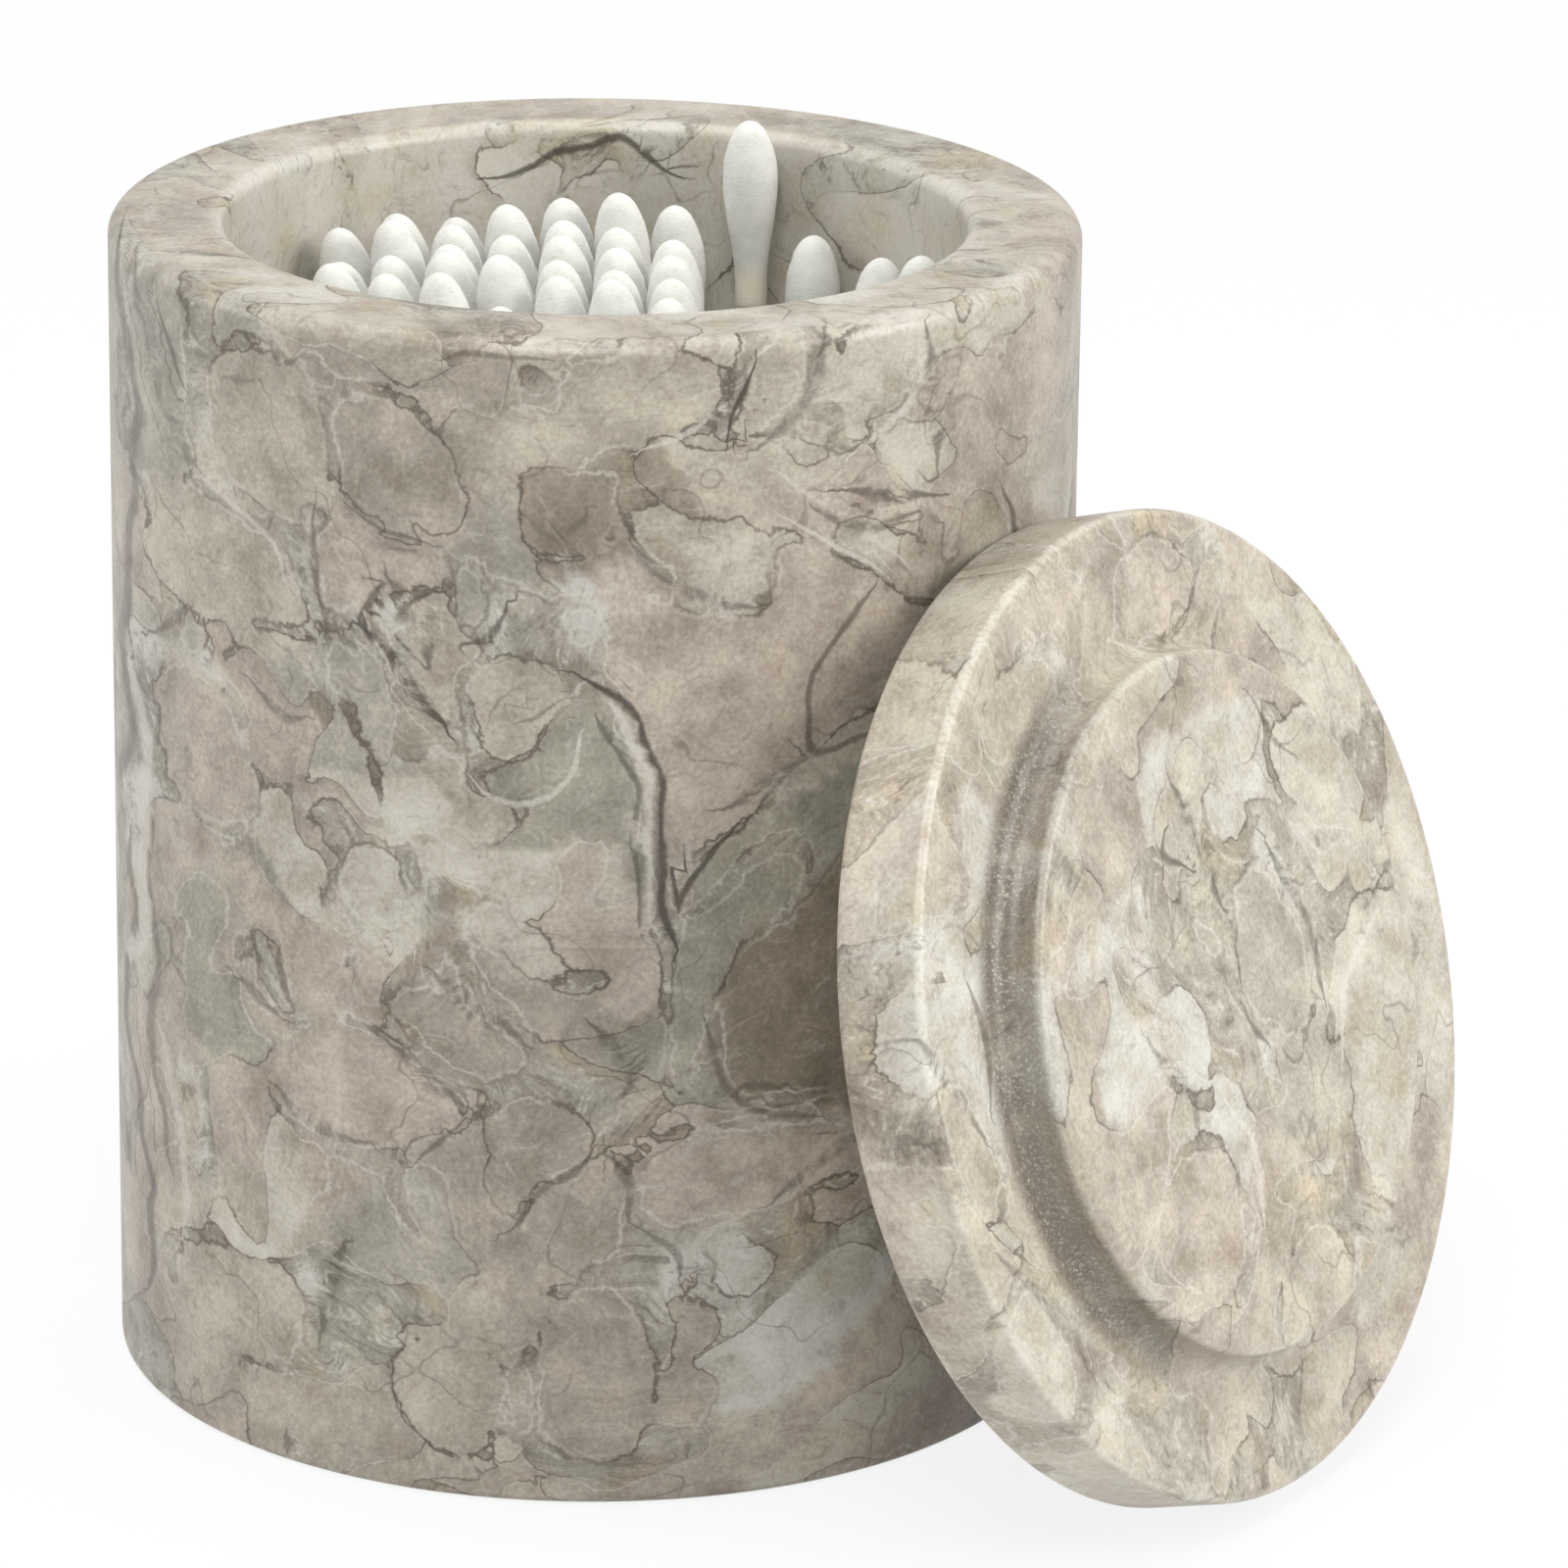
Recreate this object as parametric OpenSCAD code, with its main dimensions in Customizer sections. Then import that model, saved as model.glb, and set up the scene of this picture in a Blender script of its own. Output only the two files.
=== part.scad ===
// Cotton swab holder: a turned marble jar with a bunch of cotton swabs in it, and its marble lid
// taken off and leaned against the jar's side with the plug that fits the mouth facing outwards.
// The origin is the centre of the jar's foot, and +Z is up.

/* [Jar] */
// Outside diameter of the jar
jar_d = 76; // [72:1:90]
// Height of the jar
jar_h = 93; // [92:1:105]
// Thickness of the turned wall
jar_wall = 9; // [7:0.5:10]
// Thickness of the floor under the bore
jar_floor = 13; // [9:0.5:14]
// Rounding of the rim's outer edge
rim_round = 1.5; // [0.6:0.1:2.5]
// Rounding of the rim's inner edge, round the mouth
mouth_round = 1.2; // [0.6:0.1:2]
// Rounding of the foot's edge
foot_round = 0.6; // [0.3:0.1:1.5]
// Rounding where the bore meets the floor
bore_round = 3; // [1:0.5:4]

/* [Lid] */
// Thickness of the lid's disc
lid_t = 7.7; // [6:0.1:10]
// How far the disc stands out past the jar's side when the lid is on
lid_overhang = 0.3; // [0:0.1:1.5]
// Depth of the round plug that drops into the mouth
plug_h = 3.2; // [2.4:0.1:6]
// Gap between the plug and the mouth, all round
plug_gap = 1.8; // [1:0.1:3]
// Radius of the cove turned round the plug's root
plug_cove = 2; // [1:0.1:2.2]
// Rounding of the plug's and the disc's edges
lid_round = 0.8; // [0.3:0.1:1]
// Angle from upright at which the lid leans on the jar
lid_lean = 16.2; // [10:0.1:25]
// Direction of the lid from the jar's axis, as an angle from +X
lid_bearing = -32; // [-60:1:0]

/* [Swabs] */
// Length of a swab from end to end
swab_len = 75; // [70:0.5:76]
// Diameter of the rolled paper stick
stick_d = 2.5; // [2:0.1:2.8]
// Largest diameter of a cotton bud
bud_d = 4.6; // [4:0.1:5]
// Length of a cotton bud
bud_len = 15; // [12:0.5:17]
// Distance from a bud's end to where it is widest
bud_crown = 4.8; // [3:0.1:6]
// Thickness of the cotton where the bud runs out on the stick
bud_hem = 0.2; // [0.1:0.05:0.4]
// Cotton over the end of the stick
bud_pad = 2.5; // [1.5:0.1:3.5]
// How far the friction of its neighbours may hold a swab above the floor
swab_rise = 2.4; // [0:0.1:3]
// How far the tallest swab is drawn up above the floor
tall_rise = 7; // [4:0.1:9]
// Room left between two buds that stand side by side
swab_gap = 0.55; // [0.45:0.05:0.8]
// Room left between a standing piece and what it rests on
seat_gap = 0.1; // [0.05:0.05:0.2]

/* [Hidden] */
$fn = 96;

jar_r = jar_d / 2;
bore_r = jar_r - jar_wall;
lid_r = jar_r + lid_overhang;
plug_r = bore_r - plug_gap;
stick_r = stick_d / 2;
bud_r = bud_d / 2;

// Lengths past a face, so that a cut goes right through it
over = 1;
// Points round a bud's crown and down its taper
crown_steps = 6;
taper_steps = 7;

// The swabs' places are [foot, head, rise]: where the two ends lie in plan when it stands on the
// floor, and how far it is then drawn up along its own line. room is how far from the axis a bud
// can stand, and the shares below are of it.
pitch = bud_d + swab_gap;
room = bore_r - bud_r - swab_gap;
foot_room = room - bore_round / 3;

// The bunch's feet stand on a triangular grid. Stretched by sqrt(3) from left to right and squeezed
// by sqrt(3) from front to back, such a grid is a triangular grid again, so the heads are as far
// apart as the feet, while the bunch fans out to the left.
fan = sqrt(3);
bunch_foot = [0.14, 0] * room;
bunch_head = [-0.287, 0.29] * room;
bunch_right = 0.37 * room;
grid_n = ceil(2 * room / pitch);
wobble = 0.15 * swab_gap;
wobble_seed = 11;

// Four swabs stand apart from the bunch with their heads against the wall. One of them is drawn up.
wall_reach = bore_r - bud_r - seat_gap;
loners = [
    against_wall([0.51, 0.54] * room, 63.6, tall_rise),
    against_wall([0.63, 0.10] * room, 50, 0),
    against_wall([0.71, -0.14] * room, 32, 0),
    against_wall([0.835, 0.12] * room, 15.5, 0)
];

// A swab from its foot's place to where its head meets the wall, at a bearing from +X
function against_wall(foot, bearing, rise) =
    let (touch = wall_reach * [cos(bearing), sin(bearing)])
    [foot, foot + (touch - foot) / (1 + rise / swab_len), rise];
function between(a, b, t) = a * (1 - t) + b * t;
// The closest that two swabs come in plan: between their ends, and between their sticks
function ends_apart(a, b) = min(norm(a[0] - b[0]), norm(a[1] - b[1]));
function sticks_apart(a, b) =
    min([for (t = [0 : 0.05 : 1]) norm(between(a[0], a[1], t) - between(b[0], b[1], t))]);
function clear_of_loners(s) =
    min([for (other = loners) ends_apart(s, other)]) >= pitch &&
    min([for (other = loners) sticks_apart(s, other)]) >= stick_d + swab_gap;
// Where the head ends up once the swab is drawn up
function drawn_head(s) = s[1] + (s[1] - s[0]) * s[2] / swab_len;
function grid_spot(i, j) = pitch * [i + j / 2, j * sqrt(3) / 2];
function bunch_swab(i, j) =
    let (spot = grid_spot(i, j),
         noise = rands(-1, 1, 5, wobble_seed + 97 * i + 31 * j))
    [bunch_foot + spot + wobble * [noise[0], noise[1]],
     bunch_head + [spot[0] * fan, spot[1] / fan] + wobble * [noise[2], noise[3]],
     swab_rise * (1 + noise[4]) / 2];
function in_jar(s) =
    norm(s[0]) <= foot_room && norm(drawn_head(s)) <= room && s[1][0] <= bunch_right;

// From the back of the jar to its front, and from left to right
bunch = [
    for (j = [grid_n : -1 : -grid_n], i = [-2 * grid_n : 2 * grid_n])
        let (s = bunch_swab(i, j))
        if (in_jar(s) && clear_of_loners(s)) s
];
swabs = concat(loners, bunch);

// The swabs that show over the rim are nodes of their own. Those that stand hidden in front of them
// share nodes in small groups.
single_n = min(24, len(swabs));
front_n = len(swabs) - single_n;
group_size = max(1, ceil(front_n / 5));
group_n = ceil(front_n / group_size);
function two_digits(n) = n < 10 ? str("0", n) : str(n);
function stick_name(k) = str("swab_", two_digits(k + 1), "_stick");
function buds_name(k) = str("swab_", two_digits(k + 1), "_buds");
function group_sticks_name(g) = str("front_group_", g + 1, "_sticks");
function group_buds_name(g) = str("front_group_", g + 1, "_buds");
// The numbers, in swabs, of the swabs of one group
function group_members(g) =
    [for (k = [single_n + g * group_size : 1 : single_n + (g + 1) * group_size - 1])
        if (k < len(swabs)) k];

// What a quarter round of radius r leaves of the corner at the origin, whose sides run to -x and -y
module corner_waste(r) {
    difference() {
        translate([-r, -r]) square(r + over);
        translate([-r, -r]) circle(r);
    }
}

// Half the bore's section, with its bottom corner rounded and its mouth flared by the rim's rounding
module bore_section() {
    difference() {
        translate([0, jar_floor]) square([bore_r, jar_h]);
        translate([bore_r, jar_floor]) mirror([0, 1]) corner_waste(bore_round);
    }
    translate([bore_r, jar_h]) mirror([1, 0]) corner_waste(mouth_round);
}

module jar() {
    color("#b5aea0")
    rotate_extrude() difference() {
        square([jar_r, jar_h]);
        translate([jar_r, jar_h]) corner_waste(rim_round);
        translate([jar_r, 0]) mirror([0, 1]) corner_waste(foot_round);
        bore_section();
    }
}

// Half the lid's section: the top of the lid is at y = 0 and the plug points to +y
module lid_section() {
    face_y = lid_t;
    plug_y = lid_t + plug_h;
    difference() {
        square([lid_r, face_y]);
        translate([lid_r, face_y]) corner_waste(lid_round);
        translate([lid_r, 0]) mirror([0, 1]) corner_waste(lid_round);
    }
    difference() {
        square([plug_r, plug_y]);
        translate([plug_r, plug_y]) corner_waste(lid_round);
    }
    difference() {
        translate([0, face_y - over]) square([plug_r + plug_cove, plug_cove + over]);
        translate([plug_r + plug_cove, face_y + plug_cove]) circle(plug_cove);
    }
}

// The lid stands on the edge of its top face and leans on that edge's highest point
module lid() {
    edge_r = lid_r - lid_round;
    stand_z = edge_r * cos(lid_lean) - lid_round * sin(lid_lean) + lid_round;
    away = jar_r + seat_gap + edge_r * sin(lid_lean) - lid_round * cos(lid_lean) + lid_round;
    color("#d2ccbe")
    rotate([0, 0, lid_bearing])
    translate([away, 0, stand_z])
    rotate([0, 90 - lid_lean, 0])
    rotate_extrude() lid_section();
}

// Stands a swab's own frame, with its foot at the origin and its stick along +Z, in its place
module place_swab(s) {
    tilt = s[1] - s[0];
    lean = asin(norm(tilt) / swab_len);
    translate([s[0][0], s[0][1], jar_floor + seat_gap])
    rotate([0, lean, atan2(tilt[1], tilt[0])])
    translate([0, 0, s[2]])
    children();
}

module stick() {
    translate([0, 0, bud_pad]) cylinder(h = swab_len - 2 * bud_pad, r = stick_r);
}

// A wound cotton bud with its tip at the origin: a round crown, a long taper and the stick's socket
module bud() {
    hem_r = stick_r + bud_hem;
    crown = [for (k = [0 : crown_steps])
        let (a = 90 * k / crown_steps) [bud_r * sin(a), bud_crown * (1 - cos(a))]];
    taper = [for (k = [1 : taper_steps])
        let (t = k / taper_steps)
        [hem_r + (bud_r - hem_r) * (1 + cos(180 * t)) / 2, between(bud_crown, bud_len, t)]];
    socket = [[stick_r, bud_len], [stick_r, bud_pad], [0, bud_pad]];
    rotate_extrude() polygon(concat(crown, taper, socket));
}

module swab_stick(s) {
    color("#d9d2bf") place_swab(s) stick();
}

module swab_buds(s) {
    color("#f4f4ef") place_swab(s) {
        bud();
        translate([0, 0, swab_len]) mirror([0, 0, 1]) bud();
    }
}

module group_sticks(g) {
    for (k = group_members(g)) swab_stick(swabs[k]);
}

module group_buds(g) {
    for (k = group_members(g)) swab_buds(swabs[k]);
}

jar();
lid();
for (k = [0 : 1 : single_n - 1]) {
    swab_stick(swabs[k]);
    swab_buds(swabs[k]);
}
for (g = [0 : 1 : group_n - 1]) {
    group_sticks(g);
    group_buds(g);
}
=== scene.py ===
"""Cotton swab holder: a turned marble jar full of cotton swabs, with its marble lid leaned on it."""
import math
import random

import bmesh
import bpy
import numpy as np
from mathutils import Matrix, Vector, noise


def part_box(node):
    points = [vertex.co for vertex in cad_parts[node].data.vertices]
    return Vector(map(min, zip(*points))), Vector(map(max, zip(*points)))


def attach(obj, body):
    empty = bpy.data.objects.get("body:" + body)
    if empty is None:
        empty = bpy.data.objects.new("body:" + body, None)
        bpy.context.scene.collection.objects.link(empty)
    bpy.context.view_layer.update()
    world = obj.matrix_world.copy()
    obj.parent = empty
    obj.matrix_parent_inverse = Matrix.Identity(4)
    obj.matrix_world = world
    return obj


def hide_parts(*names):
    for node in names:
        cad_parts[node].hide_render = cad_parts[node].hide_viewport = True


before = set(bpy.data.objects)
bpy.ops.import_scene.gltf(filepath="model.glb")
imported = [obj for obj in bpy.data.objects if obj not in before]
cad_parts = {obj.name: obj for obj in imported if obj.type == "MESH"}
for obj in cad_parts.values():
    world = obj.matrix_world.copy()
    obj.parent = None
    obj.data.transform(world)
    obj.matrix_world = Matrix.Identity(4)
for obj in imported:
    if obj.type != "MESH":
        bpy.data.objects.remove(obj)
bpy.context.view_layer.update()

# The jar. It is turned from one block of brecciated marble: pinkish beige and taupe lumps of stone
# in a grey-green ground, healed with thin dark cracks. The outside is honed to a satin finish, and
# the rim, the mouth and the foot are eased by hand.
MM = 0.001
SLACK = 0.02 * MM
JAR_SIDES = 320
JAR_WALL = 9 * MM
JAR_FLOOR = 13 * MM
RIM_ROUND = 1.5 * MM
MOUTH_ROUND = 1.2 * MM
FOOT_ROUND = 0.6 * MM
BORE_ROUND = 3 * MM
BASE_STEP = 2 * MM
jar_low, jar_high = (Vector(corner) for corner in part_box("jar"))
jar_r = (jar_high.x - jar_low.x) / 2
jar_h = jar_high.z
bore_r = jar_r - JAR_WALL


def edit(piece):
    """Opens one piece for editing with nothing on it picked."""
    bpy.ops.object.select_all(action="DESELECT")
    piece.select_set(True)
    bpy.context.view_layer.objects.active = piece
    bpy.ops.object.mode_set(mode="EDIT")
    bpy.ops.mesh.select_all(action="DESELECT")


def pick(piece, kind, rule):
    """Picks just the vertices, edges or faces ("verts", "edges", "faces") that the rule is true of."""
    bpy.ops.mesh.select_mode(type={"verts": "VERT", "edges": "EDGE", "faces": "FACE"}[kind])
    bpy.ops.mesh.select_all(action="DESELECT")
    mesh = bmesh.from_edit_mesh(piece.data)
    for part in getattr(mesh, kind):
        if rule(part):
            part.select_set(True)
    bmesh.update_edit_mesh(piece.data)


def done(angle=40):
    """Leaves edit mode and shades what is smoother than the angle as smooth."""
    bpy.ops.object.mode_set(mode="OBJECT")
    bpy.ops.object.shade_smooth_by_angle(angle=math.radians(angle))


def from_axis(vertex):
    """How far a vertex lies from the axis that its piece is turned round."""
    return math.hypot(vertex.co.x, vertex.co.y)


def ring(radius, height):
    """A rule for the edges that run round the axis at that radius and height."""
    def rule(edge):
        return all(abs(from_axis(v) - radius) < SLACK and abs(v.co.z - height) < SLACK for v in edge.verts)
    return rule


def down_wall(radius, shortest):
    """A rule for the edges that run down the wall of that radius and are longer than shortest."""
    def rule(edge):
        low, high = sorted(v.co.z for v in edge.verts)
        return high - low > shortest and all(abs(from_axis(v) - radius) < SLACK for v in edge.verts)
    return rule


def across_face(height, shortest):
    """A rule for the edges that run outwards over the flat at that height and are longer than shortest."""
    def rule(edge):
        near, far = sorted(from_axis(v) for v in edge.verts)
        return far - near > shortest and all(abs(v.co.z - height) < SLACK for v in edge.verts)
    return rule


def bevel_ring(piece, radius, height, round_r, steps=8):
    """Rounds the edge that runs round the axis at that radius and height."""
    pick(piece, "edges", ring(radius, height))
    bpy.ops.mesh.bevel(offset=round_r, offset_type="OFFSET", segments=steps, profile=0.5, affect="EDGES")


def cut_edges(piece, rule, cuts):
    """Cuts the edges that the rule picks, and so the faces between them, into equal lengths."""
    for count in cuts:
        pick(piece, "edges", rule)
        bpy.ops.mesh.subdivide(number_cuts=count)


def ring_face(piece, height, facing, step, rings):
    """Lays rings inside a round flat face, so that the marble's pattern has places to lie on."""
    pick(piece, "faces", lambda f: len(f.verts) == JAR_SIDES and f.normal.z * facing > 0.9
         and abs(f.calc_center_median().z - height) < SLACK)
    for _ in range(rings):
        bpy.ops.mesh.inset(thickness=step)


bpy.ops.mesh.primitive_cylinder_add(vertices=JAR_SIDES, radius=jar_r, depth=jar_h,
                                    location=(0, 0, jar_h / 2), end_fill_type="NGON")
jar = bpy.context.object
jar.name = "jar_turned"
bpy.ops.object.transform_apply(location=True)
edit(jar)
pick(jar, "faces", lambda f: f.normal.z > 0.9)
bpy.ops.mesh.inset(thickness=JAR_WALL)
bpy.ops.mesh.extrude_region_move(TRANSFORM_OT_translate={"value": (0, 0, JAR_FLOOR - jar_h)})
bevel_ring(jar, jar_r, jar_h, RIM_ROUND)
bevel_ring(jar, bore_r, jar_h, MOUTH_ROUND)
bevel_ring(jar, bore_r, JAR_FLOOR, BORE_ROUND)
bevel_ring(jar, jar_r, 0, FOOT_ROUND, 4)
cut_edges(jar, down_wall(jar_r, 1.5 * MM), (11, 9))
cut_edges(jar, down_wall(bore_r, 2 * MM), (7, 6))
cut_edges(jar, across_face(jar_h, 3 * MM), (7,))
ring_face(jar, JAR_FLOOR, 1, BASE_STEP, 12)
ring_face(jar, 0, -1, BASE_STEP, 18)
done()


def sides(line, closed):
    """The pairs of points that a line runs between, back to the first one where it is closed."""
    return zip(line, line[1:] + line[:1] if closed else line[1:])


def rounded(line, closed=True):
    """A line with its corners cut once, as weathering rounds a broken stone."""
    cut = []
    for (ax, ay), (bx, by) in sides(line, closed):
        cut += [(0.75 * ax + 0.25 * bx, 0.75 * ay + 0.25 * by),
                (0.25 * ax + 0.75 * bx, 0.25 * ay + 0.75 * by)]
    return cut if closed else [line[0]] + cut + [line[-1]]


def line_distance(places, line, closed):
    """How far each place is from a line: under 0 inside a closed one, or to the right of an open one."""
    nothing = 1e-9
    best = np.full(len(places), np.inf)
    side = np.ones(len(places))
    inside = np.zeros(len(places), bool)
    for a, b in sides(line, closed):
        a, b = np.array(a), np.array(b)
        along = b - a
        share = np.clip((places - a) @ along / max(along @ along, nothing), 0, 1)
        away = np.linalg.norm(places - a - share[:, None] * along, axis=1)
        left = along[0] * (places[:, 1] - a[1]) - along[1] * (places[:, 0] - a[0])
        side = np.where(away < best, np.sign(left), side)
        best = np.minimum(best, away)
        if closed:
            rise = along[1] if abs(along[1]) > nothing else nothing
            reach = a[0] + (places[:, 1] - a[1]) * along[0] / rise
            inside ^= ((a[1] > places[:, 1]) != (b[1] > places[:, 1])) & (places[:, 0] < reach)
    return np.where(inside, -best, best) if closed else best * side


def soft_step(low, high, value):
    """0 at low, 1 at high and smooth between them, where low may be the higher."""
    share = np.clip((value - low) / (high - low), 0, 1)
    return share * share * (3 - 2 * share)


def linear(r, g, b):
    """A colour as seen on a screen, from 0 to 255, as the light that Blender works in."""
    shares = (r / 255, g / 255, b / 255)
    return tuple(c / 12.92 if c < 0.04045 else ((c + 0.055) / 1.055) ** 2.4 for c in shares) + (1,)


def noise_places(places, size, other):
    """The places in lengths of the noise's size, moved so that each value of other has its own noise."""
    return [Vector(place) / size + Vector((other, 3 * other, 7 * other)) for place in places]


def clouds(places, size, octaves=3, other=0.0):
    """Soft noise at each place, about from -1 to 1, whose clouds are about that many mm across."""
    return np.array([noise.fractal(place, 0.8, 2.0, octaves) for place in noise_places(places, size, other)])


def bent(places, size, reach, other=0.0):
    """The places, each pushed up to about reach mm aside by noise of that size, as stone flows."""
    pushes = [noise.noise_vector(place) for place in noise_places(places, size, other)]
    return places + reach * np.array(pushes)


def over(below, above, cover):
    """One set of colours laid over another where cover is more than 0."""
    cover = np.clip(cover, 0, 1)[:, None]
    return below * (1 - cover) + np.array(above) * cover


def lay_marble(piece, places, drawing, shown, stones, streaks, painted_light, calm):
    """Writes the marble's ground, its two layers of stones and its streaks as attributes of the mesh.

    places are in mm in the block. drawing is where each lies in mm on the drawing of the piece's face,
    and shown is how far it is on that face. stones are (tint, outline), and streaks are
    (strength, width, line), where a strength under 0 is a pale one. The argument after the streaks is
    how far a place is painted paler and brighter, as painted light or a painted highlight, and calm is
    how far the colours are drawn together."""
    mesh = piece.data
    far = np.full(len(places), FAR)
    flow = bent(bent(places, 30, 9), 8, 2.6, 5)
    drawing = bent(np.column_stack([drawing, np.full(len(drawing), 3.0)]), 5, 1.1)[:, :2]
    ground = np.tile(linear(*SMOKE), (len(places), 1))
    cloud = clouds(flow, 12, 3, 1)
    for above, low, high in ((BROWN, -0.15, -0.45), (GREEN, 0.0, 0.2), (HAZE, 0.25, 0.5)):
        ground = over(ground, linear(*above), soft_step(low, high, cloud))
    ground = over(ground, linear(*OCHRE), 0.7 * soft_step(0.2, 0.5, clouds(flow, 9, 2, 4)))
    colours = {"ground": ground}
    values = {"swirl": 12 * clouds(flow, 12, 3, 6),
              "shows": soft_step(-0.25, 0.35, clouds(places, 8, 2, 9))}
    shade = 1 + 0.1 * clouds(flow, 8, 3, 31)
    room = 2.2 * clouds(flow, 7, 2, 41)
    drawn = [(colour, line_distance(drawing, rounded(outline), True)) for colour, outline in stones]
    nearest_stone = np.minimum.reduce([far] + [away for _, away in drawn])
    # Each layer's name, the size of its stones in mm and how sparse they are
    for layer, (name, size, spare) in enumerate((("upper", 9, 0.12), ("lower", 15, -0.1))):
        edge = size * (spare - clouds(flow, size, 2, 11 + layer))
        tone = clouds(flow, 15, 2, 21 + layer)
        tint = np.tile(linear(*PINK), (len(places), 1))
        for above, low, high in ((TAUPE, -0.1, -0.3), (BEIGE, 0.0, 0.15), (CREAM, 0.3, 0.45)):
            tint = over(tint, linear(*above), soft_step(low, high, tone))
        placed = far
        for colour, away in drawn[layer::2]:
            nearer = (away < placed) & (shown > 0.02)
            tint[nearer] = linear(*colour)
            placed = np.minimum(placed, away)
        # Stones that aren't on the drawing fill the room between those that are
        filled = np.minimum(placed, np.maximum(edge, room - nearest_stone))
        values[name + "_edge"] = edge * (1 - shown) + filled * shown
        colours[name] = tint * shade[:, None]
    values.update(streak=far, mark=np.zeros(len(places)), width=np.full(len(places), 0.5))
    nearest = far
    for strength, width, line in streaks:
        away = line_distance(drawing, rounded(line, False), False)
        ends = np.minimum(*(np.linalg.norm(drawing - np.array(end), axis=1) for end in (line[0], line[-1])))
        wide = width * (0.25 + 0.75 * soft_step(0, 3, ends))
        nearer = np.abs(away) - wide < nearest
        nearest = np.where(nearer, np.abs(away) - wide, nearest)
        values["streak"] = np.where(nearer, away, values["streak"])
        values["width"] = np.where(nearer, wide, values["width"])
        mark = strength * shown * (np.abs(away) < wide + STREAK_EDGE)
        values["mark"] = np.where(nearer, mark, values["mark"])
    for name, tint in colours.items():
        tint = over(tint, linear(*BEIGE), np.full(len(places), calm))
        # Painted light and painted highlights: the colours are made paler and brighter as far as the argument
        # after the streaks says
        tint = over(tint, linear(*PAINTED_LIGHT_TONE), 0.55 * painted_light)
        tint[:, :3] *= 1 + PAINTED_LIGHT_LIFT * painted_light[:, None]
        mesh.attributes.new(name, "FLOAT_COLOR", "POINT").data.foreach_set("color", tint.ravel())
    for name, value in values.items():
        mesh.attributes.new(name, "FLOAT", "POINT").data.foreach_set("value", value)


def places_of(piece):
    """The places of a piece's vertices, in mm."""
    flat = np.empty(len(piece.data.vertices) * 3)
    piece.data.vertices.foreach_get("co", flat)
    return flat.reshape(-1, 3) / MM


# The seed gives the stone the same pattern in each run
NOISE_SEED = 5
noise.seed_set(NOISE_SEED)
# Farther from a stone or a streak than any of its marks shows, in mm
FAR = 9.0
STREAK_EDGE = 0.9
# How much brighter the painted light makes the marble
PAINTED_LIGHT_LIFT = 0.4
OCHRE = (184, 168, 142)
PINK, BEIGE, CREAM = (188, 176, 163), (188, 180, 165), (202, 197, 183)
TAUPE, BROWN, GREEN, UMBER = (174, 164, 151), (152, 140, 125), (160, 158, 143), (140, 129, 113)
# The third of these is the pale tone laid on as painted light
HAZE, SMOKE, PAINTED_LIGHT_TONE = (208, 207, 198), (173, 169, 157), (203, 201, 191)
CRACK, EDGE_LINE, HAIR_CRACK = (70, 61, 50), (88, 77, 64), (98, 86, 72)
STROKE, STONE_SHADE, COVE_SHADE = (110, 100, 87), (120, 108, 93), (96, 87, 76)
HEALED, NEUTRAL = (226, 222, 211), (188, 188, 188)
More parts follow.
